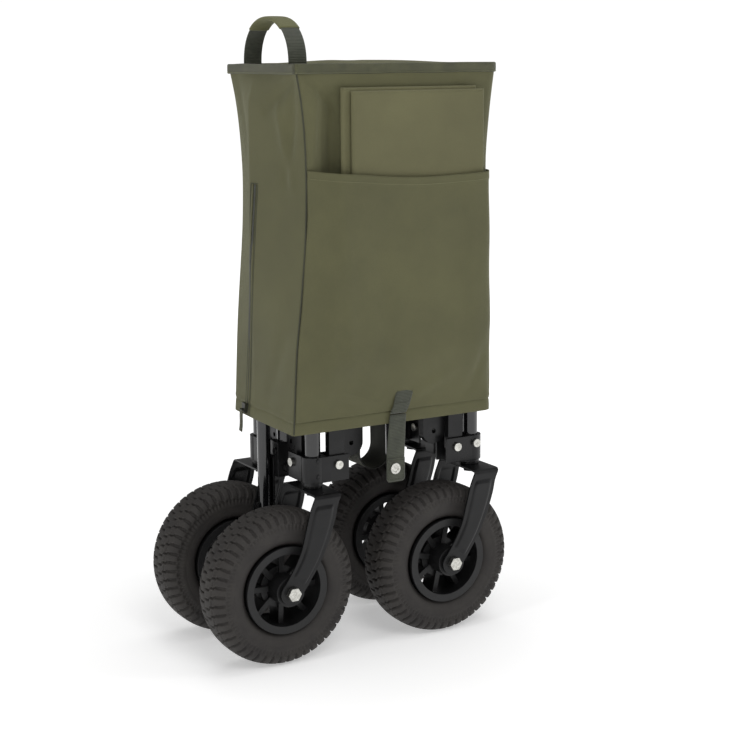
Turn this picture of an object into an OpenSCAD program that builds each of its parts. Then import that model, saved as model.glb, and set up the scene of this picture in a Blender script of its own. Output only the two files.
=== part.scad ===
// Four-fold beach cart, folded upright on its wheels, with its storage cover on.
// Front (the pull-handle end) is -X, the pocket side is -Y, +Z is up.

/* [Wheels] */
// Tyre diameter
wheel_d = 200; // [180:1:220]
// Tyre width
tyre_w = 62; // [54:1:64]
// Rim diameter over the flanges
rim_d = 112; // [100:1:118]
// Number of spokes in a rim
spoke_count = 8; // [6:1:10]
// Distance between wheels along the wide side
wheel_pitch_x = 238; // [230:1:260]
// Distance between wheels across the depth
wheel_pitch_y = 144; // [138:1:160]
// Axle bolt diameter
axle_d = 10; // [8:1:12]

/* [Forks] */
// Distance from a fork's stem to its axle
trail = 54; // [50:1:60]
// Height of the top of the fork plate
fork_top = 219; // [212:1:228]
// Width across the fork arms
fork_w = 88; // [84:1:94]
// Length of the fork plate
fork_len = 38; // [34:1:42]
// Sheet thickness of a fork
fork_t = 3; // [2.5:0.5:4]

/* [Frame] */
// Diameter of a corner post
post_d = 20; // [16:1:22]
// Height of the top of the folded frame
frame_top = 734; // [700:1:736]
// Height of a lower corner bracket
bracket_h = 33; // [28:1:40]
// Reach of a corner bracket along the wide side
bracket_reach = 45; // [40:1:50]
// Diameter of a centre post
centre_post_d = 24; // [20:1:26]
// Width of a scissor bar
bar_w = 22; // [18:1:24]
// Diameter of the pull-handle tube
pull_d = 17; // [15:1:18]

/* [Cover] */
// Height of the top edge of the cover
rim_z = 743; // [741:1:760]
// Height of the bottom edge of the cover
hem_z = 296; // [286:1:304]
// Height of the mouth of the pocket
pocket_z = 612; // [580:1:640]
// Thickness of the cover fabric
cover_t = 1.5; // [1:0.5:2]
// Height of the edge binding
binding_h = 11; // [8:1:14]
// Width of the webbing
webbing_w = 25; // [20:1:30]
// Height of the carry loop above the cover
loop_h = 58; // [50:1:70]
// Thickness of one floor-board leaf
leaf_t = 6; // [4:0.5:7]

/* [Hidden] */
$fn = 64;
hull_fn = 24;

// Clearances
run_gap = 0.05;
free_gap = 0.3;

// Wheel places
axle_z = wheel_d / 2;
wheel_x = wheel_pitch_x / 2;
wheel_y = wheel_pitch_y / 2;
front_x = trail - wheel_x;
rear_x = trail + wheel_x;
mid_x = (front_x + rear_x) / 2;
// Turn of each wheel about its axle: front left, front right, rear left, rear right
wheel_turn = [-2, 17, 33, 8];

// Tyre and rim sections
bead_r = rim_d / 2 - 3;
tyre_mid_r = (wheel_d / 2 + bead_r) / 2;
tyre_half_h = (wheel_d / 2 - bead_r) / 2;
tyre_wall = 6;
tyre_square = 0.6;
tube_t = 1.5;
rim_w = tyre_w - 2;
rim_t = 5.5;
flange_w = 4.5;
hub_r = 19;
hub_w = fork_w - 2 * fork_t - 6;
bearing_r = 13;
bearing_w = 8;
spoke_w = 7;
spoke_d = 26;
valve_r = 3;
valve_turn = 157.5;

// Forks
stem_r = 5;
lobe_r = 16;
panel_t = 1.4;
nut_h = 6.5;
nut_r = 9;
washer_t = 2.4;

// Frame
bracket_z = fork_top + 2 * washer_t + free_gap + 1.9;
bush_z = fork_top + washer_t + free_gap;
sleeve_r = post_d / 2 + 4.5;
channel_t = 2.5;
channel_w = 27;
end_reach = 40;
pivot_x = 29.5;
pivot_z = bracket_z + bracket_h - 12;
post_z = bracket_z + 1;
post_t = 1.5;
bar_t = 9.8;
bolt_r = 3;
bolt_head_r = 5.5;
bolt_head_t = 3.5;
rivet_r = 2.6;
cap_r = post_d / 2 + 1.5;
cap_h = 36;
cap_arm = [34, 18, 24];
bar_gap = 0.2;
bar_top = frame_top - cap_h - bar_gap;
bar_y = bar_t / 2 + bar_gap;
bar_foot = 12;
end_bar_w = bar_w - 4;
inner_bar_out = wheel_y - pivot_x - end_bar_w / 2 - free_gap;
inner_bar_in = centre_post_d / 2 + free_gap;
foot_x = pivot_x + bar_w + 5;
centre_box = [34, 20, 46];
centre_box_z = fork_top + 1;
centre_box_x = front_x - centre_box[0] / 2;
pull_x = front_x - 28;
pull_y = 8;
pull_bottom = 166;

yoke_t = centre_box_x - pull_x - pull_d / 2 - 0.1;
hub_z = 330;
link = [10, 9, 330];
fabric_x = 46;
fabric_in = 26;
fabric_z = 285;
fabric_out = wheel_y - post_d / 2 - 0.4;
sling_w = 50;
sling_t = 4;
sling_z = 215;

// Cover
bulge = [pull_x, pull_y];
bulge_r = pull_d / 2 + 2.6;
face_y = -104;
back_y = 88;
waist_z = 590;
top_t = 1.5;
board_y = face_y - 3;
pocket_y = board_y - 2 * leaf_t - 2;
pocket_t = 1.2;
pocket_left = -80;
pocket_right = 176;
pocket_bottom = hem_z + 16;
board_bottom = pocket_bottom + 70;
board_top = rim_z - 31;
front_leaf = [-30, 162];
rear_leaf = [-41, 154];
loop_x = -75;
loop_y = -6.5;
loop_half = 61.5;
loop_t = 1.8;
loop_lift = webbing_w / 2 + free_gap;
strap_x = 36;
strap_hinge_z = hem_z + 11;
strap_end_z = 220;
snap_z = 238;
zip_x = bulge[0] - bulge_r - free_gap;
zip_top = [zip_x, -1, waist_z + 5];
zip_bottom = [zip_x, 33, hem_z + 5];
strap_y = face_y - 3.4;
strap_t = 1.6;

// Corner signs: +1 or -1 towards the middle of the cart
FRONT = 1;
REAR = -1;
LEFT = 1;
RIGHT = -1;
function post_at(end) = end == FRONT ? front_x : rear_x;
function row_at(side) = -side * wheel_y;
corners = [[FRONT, LEFT], [FRONT, RIGHT], [REAR, LEFT], [REAR, RIGHT]];

function bow(a, b, c, t) = (1 - t) * (1 - t) * a + 2 * t * (1 - t) * b + t * t * c;
function rounded(v, e) = sign(v) * pow(abs(v), e);
function section(half_h, half_w) = [for (a = [0:10:350])
  [tyre_mid_r + half_h * rounded(cos(a), tyre_square), half_w * rounded(sin(a), tyre_square)]];

module at_wheel(end, side) {
  translate([post_at(end) - trail, row_at(side), axle_z]) rotate([90, 0, 0]) children();
}

// ---- Wheels: every module is drawn about the Z axis and stood up by at_wheel ----

module tyre(end, side) {
  color("#2b2b2b") at_wheel(end, side) rotate_extrude() difference() {
    polygon(section(tyre_half_h, tyre_w / 2));
    polygon(section(tyre_half_h - tyre_wall, tyre_w / 2 - tyre_wall));
    translate([bead_r - 1, -valve_r - run_gap]) square([tyre_wall + 2, 2 * (valve_r + run_gap)]);
  }
}

module inner_tube(end, side, turn) {
  color("#1c1c1c") at_wheel(end, side) rotate([0, 0, turn]) {
    rotate_extrude() difference() {
      polygon(section(tyre_half_h - tyre_wall - 0.2, tyre_w / 2 - tyre_wall - 0.2));
      polygon(section(tyre_half_h - tyre_wall - tube_t, tyre_w / 2 - tyre_wall - tube_t));
    }
    rotate([0, 0, valve_turn]) translate([bead_r - 16, 0, 0]) rotate([0, 90, 0]) {
      cylinder(r = valve_r, h = 16 + tyre_wall + 0.8);
      translate([0, 0, -4]) cylinder(r = valve_r + 0.6, h = 6);
    }
  }
}

module rim(end, side, turn) {
  color("#232323") at_wheel(end, side) rotate([0, 0, turn]) difference() {
    union() {
      rotate_extrude() translate([bead_r - rim_t - 0.1, -rim_w / 2]) square([rim_t, rim_w]);
      for (s = [-1, 1]) translate([0, 0, s * (rim_w / 2 - flange_w / 2)]) rotate_extrude()
        translate([bead_r - rim_t - 1, -flange_w / 2]) square([rim_t + 4, flange_w]);
      cylinder(r = hub_r, h = hub_w, center = true);
      cylinder(r = hub_r + 8, h = spoke_d - 8, center = true);
      for (k = [0:spoke_count - 1]) rotate([0, 0, k * 360 / spoke_count])
        translate([hub_r - 2, -spoke_w / 2, -spoke_d / 2])
          cube([bead_r - rim_t - hub_r + 4, spoke_w, spoke_d]);
    }
    cylinder(r = bearing_r - 3, h = hub_w + 2, center = true);
    for (s = [-1, 1]) translate([0, 0, s * hub_w / 2])
      cylinder(r = bearing_r + run_gap / 2, h = 2 * bearing_w, center = true);
    rotate([0, 0, valve_turn]) translate([bead_r - 10, 0, 0]) rotate([0, 90, 0])
      cylinder(r = valve_r + run_gap, h = 12);
  }
}

module bearings(end, side) {
  color("silver") at_wheel(end, side) for (s = [-1, 1])
    translate([0, 0, s * (hub_w / 2 - bearing_w / 2)]) difference() {
      cylinder(r = bearing_r, h = bearing_w, center = true);
      cylinder(r = axle_d / 2 + run_gap, h = bearing_w + 2, center = true);
    }
}

// ---- Forks ----

// Side outline of a fork arm in the XZ plane, from the plate down to the axle
module arm_outline(inset) {
  top = fork_top - inset;
  left = [[-fork_len / 2 + inset, top], [-31 + inset, axle_z + 50], [-trail - 14 + inset, axle_z + 6]];
  right = [[fork_len / 2 - inset, top], [7 - inset, axle_z + 50], [-trail + 14.5 - inset, axle_z + 5]];
  steps = [0:0.1:1];
  polygon(concat(
    [for (t = steps) [bow(left[0][0], left[1][0], left[2][0], t),
                      bow(left[0][1], left[1][1], left[2][1], t)]],
    [for (t = steps) [bow(right[0][0], right[1][0], right[2][0], 1 - t),
                      bow(right[0][1], right[1][1], right[2][1], 1 - t)]]));
}

module fork(end, side) {
  color("#1d1d1d") translate([post_at(end), row_at(side), 0]) difference() {
    union() {
      translate([-fork_len / 2, -fork_w / 2, fork_top - fork_t]) cube([fork_len, fork_w, fork_t]);
      for (s = [-1, 1]) translate([0, s * (fork_w / 2 - fork_t / 2), 0]) rotate([90, 0, 0]) {
        linear_extrude(fork_t, center = true) arm_outline(0);
        translate([-trail, axle_z, 0]) cylinder(r = lobe_r, h = fork_t, center = true);
        translate([0, 0, -s * (fork_t + panel_t) / 2]) linear_extrude(panel_t, center = true)
          difference() {
            arm_outline(6);
            translate([-trail, axle_z]) circle(r = lobe_r + 2);
          }
      }
    }
    translate([-trail, 0, axle_z]) rotate([90, 0, 0])
      cylinder(r = axle_d / 2, h = fork_w + 10, center = true);
    translate([0, 0, fork_top - 10]) cylinder(r = stem_r, h = 20);
  }
}

module axle(end, side) {
  color("silver") at_wheel(end, side) {
    cylinder(r = axle_d / 2, h = fork_w + 2 * nut_h - 2, center = true);
    for (s = [-1, 1]) {
      translate([0, 0, s * (fork_w + nut_h) / 2]) cylinder(r = nut_r, h = nut_h, center = true, $fn = 6);
      translate([0, 0, s * (hub_w / 2 + 1.5)]) difference() {
        cylinder(r = axle_d / 2 + 3, h = 2.6, center = true);
        cylinder(r = axle_d / 2, h = 4, center = true);
      }
    }
  }
}

module stem(end, side) {
  color("silver") translate([post_at(end), row_at(side), 0]) {
    translate([0, 0, fork_top - fork_t - 7]) cylinder(r = nut_r, h = 7, $fn = 6);
    translate([0, 0, fork_top - fork_t]) cylinder(r = stem_r, h = fork_t + 36);
    translate([0, 0, fork_top]) difference() {
      cylinder(r = 12, h = washer_t);
      translate([0, 0, -1]) cylinder(r = stem_r, h = washer_t + 2);
    }
  }
}

module stem_bushes() {
  color("#202020") for (c = corners) translate([post_at(c[0]), row_at(c[1]), 0]) difference() {
    union() {
      translate([0, 0, bush_z]) cylinder(r = 12.5, h = bracket_z - bush_z);
      translate([0, 0, bracket_z]) cylinder(r = post_d / 2 - post_t, h = 30);
    }
    translate([0, 0, fork_top - 1]) cylinder(r = stem_r + run_gap, h = 40);
  }
}

// ---- Frame ----

module corner_posts() {
  color("#1b1b1d") for (c = corners) translate([post_at(c[0]), row_at(c[1]), bracket_z]) difference() {
    cylinder(r = post_d / 2, h = frame_top - cap_h + 20 - bracket_z);
    translate([0, 0, -1]) cylinder(r = post_d / 2 - post_t, h = frame_top);
  }
}

// Sleeve round the post with one channel along the side and one across the end
module corner_bracket(c) {
  color("#222224") translate([post_at(c[0]), row_at(c[1]), bracket_z]) {
    difference() {
      linear_extrude(bracket_h) difference() {
        union() {
          circle(r = sleeve_r);
          translate([c[0] > 0 ? 0 : -bracket_reach, -channel_w / 2]) square([bracket_reach, channel_w]);
          translate([-channel_w / 2, c[1] > 0 ? 0 : -end_reach]) square([channel_w, end_reach]);
        }
        circle(r = post_d / 2);
        translate([c[0] > 0 ? sleeve_r : -bracket_reach - 1, -channel_w / 2 + channel_t])
          square([bracket_reach - sleeve_r + 1, channel_w - 2 * channel_t]);
        translate([-channel_w / 2 + channel_t, c[1] > 0 ? sleeve_r : -end_reach - 1])
          square([channel_w - 2 * channel_t, end_reach - sleeve_r + 1]);
      }
      translate([c[0] * pivot_x, 0, pivot_z - bracket_z]) rotate([90, 0, 0])
        cylinder(r = bolt_r, h = 60, center = true);
      translate([0, c[1] * pivot_x, pivot_z - bracket_z]) rotate([0, 90, 0])
        cylinder(r = bolt_r, h = 60, center = true);
    }
    if (c[0] == FRONT) for (dz = [9, bracket_h - 4]) translate([0, -c[1] * sleeve_r, dz]) rotate([90, 0, 0])
      cylinder(r = rivet_r, h = 3, center = true);
  }
}

module corner_caps() {
  color("#202022") for (c = corners) translate([post_at(c[0]), row_at(c[1]), frame_top - cap_h])
    difference() {
      union() {
        cylinder(r = cap_r, h = cap_h);
        translate([c[0] > 0 ? 0 : -cap_arm[0], -cap_arm[1] / 2, 0]) cube(cap_arm);
      }
      translate([0, 0, -1]) cylinder(r = post_d / 2, h = 21);
    }
}

// Flat bar standing on a pivot, drawn in the XZ plane about its lower pivot
module bar(length, width, thick) {
  rotate([90, 0, 0]) linear_extrude(thick, center = true) difference() {
    union() {
      circle(r = width / 2);
      translate([-width / 2, 0]) square([width, length]);
    }
    circle(r = bolt_r);
  }
}

module side_bars(side) {
  color("#242426") for (end = [FRONT, REAR]) {
    translate([post_at(end) + end * pivot_x, row_at(side) - side * bar_y, pivot_z])
      bar(bar_top - pivot_z, bar_w, bar_t);
    translate([post_at(end) + end * foot_x, row_at(side) + side * bar_y, pivot_z + bar_w]) {
      bar(bar_top - pivot_z - 40, bar_w, bar_t);
      bar(30, bar_w + bar_foot, bar_t);
    }
  }
}

module end_bars(end) {
  color("#242426") for (side = [LEFT, RIGHT]) {
    translate([post_at(end), row_at(side) + side * pivot_x, pivot_z]) rotate([0, 0, 90])
      bar(bar_top - pivot_z, end_bar_w, bar_t);
    translate([post_at(end), -side * (inner_bar_out + inner_bar_in) / 2, pivot_z + bar_w]) rotate([0, 0, 90])
      bar(bar_top - pivot_z - bar_w - 20, inner_bar_out - inner_bar_in, bar_t);
  }
}

module bolt_with_heads(length) {
  cylinder(r = bolt_r, h = length, center = true);
  for (s = [-1, 1]) translate([0, 0, s * (length + bolt_head_t) / 2])
    cylinder(r = bolt_head_r, h = bolt_head_t, center = true);
}

module pivot_bolts() {
  color("silver") for (c = corners) translate([post_at(c[0]), row_at(c[1]), pivot_z]) {
    translate([c[0] * pivot_x, 0, 0]) rotate([90, 0, 0]) bolt_with_heads(channel_w);
    translate([0, c[1] * pivot_x, 0]) rotate([0, 90, 0]) bolt_with_heads(channel_w);
    if (c[0] == REAR) translate([0, -c[1] * (sleeve_r + bolt_head_t / 2), 2]) rotate([90, 0, 0])
      cylinder(r = bolt_head_r, h = bolt_head_t, center = true);
  }
}

module post_tube(diameter, bottom, top) {
  translate([0, 0, bottom]) difference() {
    cylinder(r = diameter / 2, h = top - bottom);
    translate([0, 0, -1]) cylinder(r = diameter / 2 - post_t, h = top - bottom + 2);
  }
}

module centre_posts() {
  color("#1b1b1d") {
    for (end = [FRONT, REAR]) translate([post_at(end), 0, 0])
      post_tube(centre_post_d, centre_box_z + centre_box[2], frame_top - 20);
    for (side = [LEFT, RIGHT]) translate([mid_x, row_at(side), 0]) post_tube(post_d, pivot_z, frame_top - 20);
  }
}

module centre_brackets() {
  color("#222224") for (end = [FRONT, REAR]) translate([post_at(end), 0, centre_box_z]) {
    translate([-centre_box[0] / 2, -centre_box[1] / 2, 0]) cube(centre_box);
    translate([-4, -centre_box[1] / 2, 12]) rotate([90, 0, 0]) cylinder(r = bolt_head_r, h = bolt_head_t);
    translate([-centre_box[0] / 2, -4.2, centre_box[2] - 12]) rotate([0, -90, 0]) cylinder(r = 4.5, h = 2.5);
  }
}

module floor_hub() {
  color("#202022") translate([mid_x, 0, hub_z]) difference() {
    cylinder(r = 24, h = 22);
    for (a = [45:90:315]) rotate([0, 0, a])
      translate([12, -link[1] / 2 - free_gap, -1]) cube([30, link[1] + 2 * free_gap, 30]);
  }
}

module floor_links() {
  color("#242426") for (a = [45:90:315]) translate([mid_x, 0, hub_z + 6]) rotate([0, 0, a])
    translate([12 + free_gap, -link[1] / 2, 0]) cube(link);
}

// ---- Pull handle, folded up against the front end ----

module pull_bolt_hole() {
  translate([pull_x, pull_y, pull_bottom + 15]) rotate([0, 90, 0])
    cylinder(r = bolt_r, h = 40, center = true);
}

module pull_yoke() {
  color("#222224") difference() {
    translate([centre_box_x - yoke_t, pull_y - 9, pull_bottom])
      cube([yoke_t, 18, centre_box_z + 26 - pull_bottom]);
    pull_bolt_hole();
  }
}

module pull_tube() {
  color("#1b1b1d") difference() {
    translate([pull_x, pull_y, pull_bottom]) cylinder(r = pull_d / 2, h = 400);
    translate([pull_x, pull_y, pull_bottom - 1]) cylinder(r = pull_d / 2 - post_t, h = 402);
    pull_bolt_hole();
  }
  color("silver") translate([pull_x, pull_y, pull_bottom + 15]) rotate([0, 90, 0]) {
    translate([0, 0, -pull_d / 2 - 0.5]) cylinder(r = bolt_r, h = pull_d + 3);
    translate([0, 0, -pull_d / 2 - 3]) cylinder(r = bolt_head_r - 0.5, h = 3);
  }
}

module pull_grip() {
  color("#1f1f1f") translate([pull_x, pull_y, 0]) {
    translate([0, 0, pull_bottom + 260]) cylinder(r = pull_d / 2 - post_t - run_gap, h = 270);
    translate([0, 0, pull_bottom + 402]) cylinder(r = pull_d / 2 + 0.5, h = 120);
  }
}

// ---- Folded wagon fabric ----

module wagon_fabric() {
  color("#5d6144") for (s = [-1, 1])
    translate([mid_x - fabric_x, s > 0 ? fabric_in : -fabric_out, fabric_z])
      cube([2 * fabric_x, fabric_out - fabric_in, frame_top - 40 - fabric_z]);
}

// Sling of the folded floor, hanging in a U below the hub
module fabric_base() {
  half = sling_w / 2;
  color("#1e1e1c") translate([mid_x, 0, sling_z + half]) rotate([90, 0, 0])
    linear_extrude(2 * (fabric_in - free_gap), center = true) difference() {
      union() {
        circle(r = half);
        translate([-half, 0]) square([sling_w, hub_z - free_gap - sling_z - half]);
      }
      circle(r = half - sling_t);
      translate([-half + sling_t, 0]) square([sling_w - 2 * sling_t, hub_z]);
    }
}

// ---- Cover ----

// Levels of the cover from the hem up: height, left edge, right edge, near corner radius,
// far left edge and far left corner radius
levels = [
  [hem_z, -108, 187.5, 15, -100, 20],
  [hem_z + 105, -102, 187.5, 15, -95, 20],
  [waist_z - 30, -88, 187.5, 26, -82, 16],
  [waist_z + 35, -88, 187.5, 28, -82, 16],
  [rim_z, -99, 191, 10, -97, 12]
];

// One level as a thin slab: rounded corners and the swell over the pull handle
module cover_level(level, skin, z) {
  translate([0, 0, z]) linear_extrude(0.01) {
    translate([level[1] + 4, face_y + 4]) circle(r = 4 - skin, $fn = hull_fn);
    translate([level[2] - level[3], face_y + level[3]]) circle(r = level[3] - skin, $fn = hull_fn);
    translate([level[2] - 16, back_y - 16]) circle(r = 16 - skin, $fn = hull_fn);
    translate([level[4] + level[5], back_y - level[5]]) circle(r = level[5] - skin, $fn = hull_fn);
    translate(bulge) circle(r = bulge_r - skin, $fn = hull_fn);
  }
}

module cover_body(skin, down, up) {
  last = len(levels) - 1;
  for (i = [0:last - 1]) hull() {
    cover_level(levels[i], skin, levels[i][0] - (i == 0 ? down : 0));
    cover_level(levels[i + 1], skin, levels[i + 1][0] - 0.01 - (i + 1 == last ? up : 0));
  }
}

module cover() {
  color("#5d6144") difference() {
    cover_body(0, 0, 0);
    cover_body(cover_t, 1, top_t);
  }
}

module rim_outline(grow) {
  hull() projection() cover_level(levels[4], -grow, 0);
}

module rim_binding() {
  color("#4b4e42") translate([0, 0, rim_z - binding_h]) linear_extrude(binding_h + 1) difference() {
    rim_outline(1.5);
    rim_outline(0.2);
  }
}

module pocket_wedge(skin) {
  rotate([90, 0, 90]) translate([0, 0, pocket_left + skin])
    linear_extrude(pocket_right - pocket_left - 2 * skin) polygon([
      [face_y - 0.1 + 3 * skin, pocket_bottom + 2 * skin],
      [face_y - 0.1 + 3 * skin, pocket_z + 2 * skin],
      [pocket_y + skin, pocket_z + 2 * skin],
      [pocket_y + skin, pocket_bottom + 64],
      [face_y - 2.8 + skin, pocket_bottom + 40],
      [face_y - 2 + skin, pocket_bottom + 2 * skin]]);
}

module pocket() {
  color("#5d6144") difference() {
    pocket_wedge(0);
    pocket_wedge(pocket_t);
  }
}

// Teeth and tapes, laid a hair above the fabric from the waist down to the hem
module zipper() {
  color("#33362b") hull() {
    translate(zip_top - [1, 3, 0]) cube([1, 6, 0.1]);
    translate(zip_bottom - [1, 3, 0]) cube([1, 6, 0.1]);
  }
}

zip_lean = atan2(zip_bottom[1] - zip_top[1], zip_top[2] - zip_bottom[2]);
slider_w = 9;
slider_at = zip_bottom + [-1.4, 0, 0];
pin_x = 6;

module zip_slider() {
  color("#2a2a28") translate(slider_at) rotate([zip_lean, 0, 0]) {
    translate([-3.5, -slider_w / 2, 0]) cube([3.5, slider_w, 13]);
    translate([-pin_x, 0, 4]) rotate([90, 0, 0]) cylinder(r = 1, h = 7, center = true);
    for (s = [-1, 1]) translate([-pin_x - 1, s * 3 - 0.6, 3]) cube([pin_x - 2, 1.2, 2]);
  }
}

module zip_pull() {
  color("#4b4e42") translate(slider_at) rotate([zip_lean, 0, 0])
    translate([-pin_x, 0, 4]) difference() {
    union() {
      translate([-0.9, -2.2, -26]) cube([1.8, 4.4, 26]);
      rotate([90, 0, 0]) cylinder(r = 2.1, h = 4.4, center = true);
    }
    rotate([90, 0, 0]) cylinder(r = 1 + run_gap, h = 10, center = true);
  }
}

// ---- Hem strap ----

module strap_patch() {
  fold = strap_hinge_z + strap_t / 2 + 2 * free_gap;
  color("#3f4336") translate([0, strap_y, 0]) rotate([90, 0, 0]) linear_extrude(strap_t) polygon([
    [strap_x - 9, fold], [strap_x + 15, fold],
    [strap_x + 31, 350], [strap_x + 3, 350]]);
}

module hem_strap() {
  color("#3f4336") translate([0, strap_y, 0]) rotate([90, 0, 0]) {
    translate([strap_x - 9, strap_hinge_z, strap_t / 2]) rotate([0, 90, 0]) cylinder(r = strap_t / 2, h = 24);
    linear_extrude(strap_t) polygon([
      [strap_x - 9, strap_hinge_z], [strap_x + 15, strap_hinge_z], [strap_x + 12, 250], [strap_x - 15, 250]]);
    linear_extrude(2 * strap_t) polygon([
      [strap_x - 15, 250], [strap_x + 12, 250], [strap_x + 12, strap_end_z + 3], [strap_x + 8, strap_end_z],
      [strap_x - 11, strap_end_z], [strap_x - 15, strap_end_z + 3]]);
  }
}

module strap_snap() {
  color("silver") translate([strap_x - 3, strap_y - 2 * strap_t - 0.1, snap_z]) rotate([90, 0, 0])
    difference() {
      cylinder(r = 7, h = 1.8);
      translate([0, 0, 0.8]) cylinder(r = 4.2, h = 2);
    }
}

// ---- Carry loop on the top panel ----

function arch(grow) = [for (a = [0:6:180])
  [loop_y + (loop_half + grow) * cos(a), (loop_h - loop_lift + grow) * sin(a)]];

module arch_band(inner, outer, width) {
  translate([loop_x - width / 2, 0, 0]) rotate([90, 0, 90]) linear_extrude(width)
    polygon(concat(arch(outer), [for (i = [30:-1:0]) arch(inner)[i]]));
}

module carry_loop() {
  color("#3f4336") translate([0, 0, rim_z + loop_lift]) {
    arch_band(-loop_t, 0, webbing_w);
    for (s = [-1, 1]) translate([loop_x, loop_y + s * (loop_half - loop_t / 2), 0]) rotate([90, 0, 0])
      cylinder(r = webbing_w / 2, h = loop_t, center = true);
  }
}

module loop_sleeve() {
  color("#7c8258") translate([0, 0, rim_z + loop_lift]) intersection() {
    difference() {
      arch_band(-loop_t - 1.5, 1.5, webbing_w + 3);
      arch_band(-loop_t - 0.1, 0.1, webbing_w + 0.2);
    }
    translate([loop_x - 20, loop_y - 47, 20]) cube([40, 94, 60]);
  }
}

// ---- Folded floor board in the pocket ----

module leaf(span, front, top) {
  color("#66694a") translate([span[0], front, board_bottom])
    cube([span[1] - span[0], leaf_t, top - board_bottom]);
}

tyre(FRONT, LEFT);  // tyre_front_left
tyre(FRONT, RIGHT);  // tyre_front_right
tyre(REAR, LEFT);  // tyre_rear_left
tyre(REAR, RIGHT);  // tyre_rear_right
inner_tube(FRONT, LEFT, wheel_turn[0]);  // tube_front_left
inner_tube(FRONT, RIGHT, wheel_turn[1]);  // tube_front_right
inner_tube(REAR, LEFT, wheel_turn[2]);  // tube_rear_left
inner_tube(REAR, RIGHT, wheel_turn[3]);  // tube_rear_right
rim(FRONT, LEFT, wheel_turn[0]);  // rim_front_left
rim(FRONT, RIGHT, wheel_turn[1]);  // rim_front_right
rim(REAR, LEFT, wheel_turn[2]);  // rim_rear_left
rim(REAR, RIGHT, wheel_turn[3]);  // rim_rear_right
bearings(FRONT, LEFT);  // bearings_front_left
bearings(FRONT, RIGHT);  // bearings_front_right
bearings(REAR, LEFT);  // bearings_rear_left
bearings(REAR, RIGHT);  // bearings_rear_right
fork(FRONT, LEFT);  // fork_front_left
fork(FRONT, RIGHT);  // fork_front_right
fork(REAR, LEFT);  // fork_rear_left
fork(REAR, RIGHT);  // fork_rear_right
axle(FRONT, LEFT);  // axle_front_left
axle(FRONT, RIGHT);  // axle_front_right
for (side = [LEFT, RIGHT]) axle(REAR, side);  // rear_axles
stem(FRONT, LEFT);  // stem_front_left
stem(FRONT, RIGHT);  // stem_front_right
for (side = [LEFT, RIGHT]) stem(REAR, side);  // rear_stems
stem_bushes();
corner_posts();
corner_bracket(corners[0]);  // bracket_front_left
corner_bracket(corners[1]);  // bracket_front_right
corner_bracket(corners[2]);  // bracket_rear_left
corner_bracket(corners[3]);  // bracket_rear_right
corner_caps();
side_bars(LEFT);  // side_bars_left
side_bars(RIGHT);  // side_bars_right
end_bars(FRONT);  // end_bars_front
end_bars(REAR);  // end_bars_rear
pivot_bolts();
centre_posts();
centre_brackets();
floor_hub();
floor_links();
pull_yoke();
pull_tube();
pull_grip();
wagon_fabric();
fabric_base();
cover();
rim_binding();
pocket();
zipper();
zip_slider();
zip_pull();
strap_patch();
hem_strap();
strap_snap();
carry_loop();
loop_sleeve();
leaf(front_leaf, board_y - 2 * leaf_t - 0.2, board_top);  // board_front_leaf
leaf(rear_leaf, board_y - leaf_t, board_top + 4);  // board_rear_leaf
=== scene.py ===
import math

import bpy
import bmesh
import numpy as np
from mathutils import Matrix, Vector


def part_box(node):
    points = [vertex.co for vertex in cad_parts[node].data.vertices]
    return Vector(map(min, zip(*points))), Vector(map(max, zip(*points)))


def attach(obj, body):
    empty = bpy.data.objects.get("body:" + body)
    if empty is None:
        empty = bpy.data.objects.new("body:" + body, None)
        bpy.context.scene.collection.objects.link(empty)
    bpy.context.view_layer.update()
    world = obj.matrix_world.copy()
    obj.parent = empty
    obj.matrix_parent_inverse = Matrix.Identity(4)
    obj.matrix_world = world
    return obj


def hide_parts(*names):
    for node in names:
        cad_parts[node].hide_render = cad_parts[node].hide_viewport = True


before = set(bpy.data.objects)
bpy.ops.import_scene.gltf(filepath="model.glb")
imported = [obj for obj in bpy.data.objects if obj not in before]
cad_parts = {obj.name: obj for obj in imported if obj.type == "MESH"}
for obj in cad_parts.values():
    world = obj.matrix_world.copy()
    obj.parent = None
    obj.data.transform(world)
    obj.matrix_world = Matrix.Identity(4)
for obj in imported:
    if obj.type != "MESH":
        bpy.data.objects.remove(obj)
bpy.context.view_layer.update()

MM = 0.001
CORNERS = ("front_left", "front_right", "rear_left", "rear_right")
WHEEL_AT = {"front_left": (-119, -72), "front_right": (-119, 72), "rear_left": (119, -72), "rear_right": (119, 72)}
POST_AT = {"front_left": (-65, -72), "front_right": (-65, 72), "rear_left": (173, -72), "rear_right": (173, 72)}
WHEEL_TURN = {"front_left": -2, "front_right": 17, "rear_left": 33, "rear_right": 8}
FACE_Y = -104
BACK_Y = 88
RIM_Z = 743
HEM_Z = 296
MOUTH_Z = 612


# ---- Working tools ----

def linear(hex_colour):
    """An sRGB hex colour as linear RGBA."""
    parts = [int(hex_colour[i:i + 2], 16) / 255 for i in (1, 3, 5)]
    return tuple(c / 12.92 if c <= 0.04045 else ((c + 0.055) / 1.055) ** 2.4 for c in parts) + (1.0,)


def ease(low, high, value):
    """0 below low, 1 above high, and a smooth step between."""
    t = np.clip((np.asarray(value, float) - low) / (high - low), 0, 1)
    return t * t * (3 - 2 * t)


def bump(centre, width, value):
    """A smooth hump, 1 at its centre and gone at two widths."""
    return np.exp(-((np.asarray(value, float) - centre) / width) ** 2)


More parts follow.
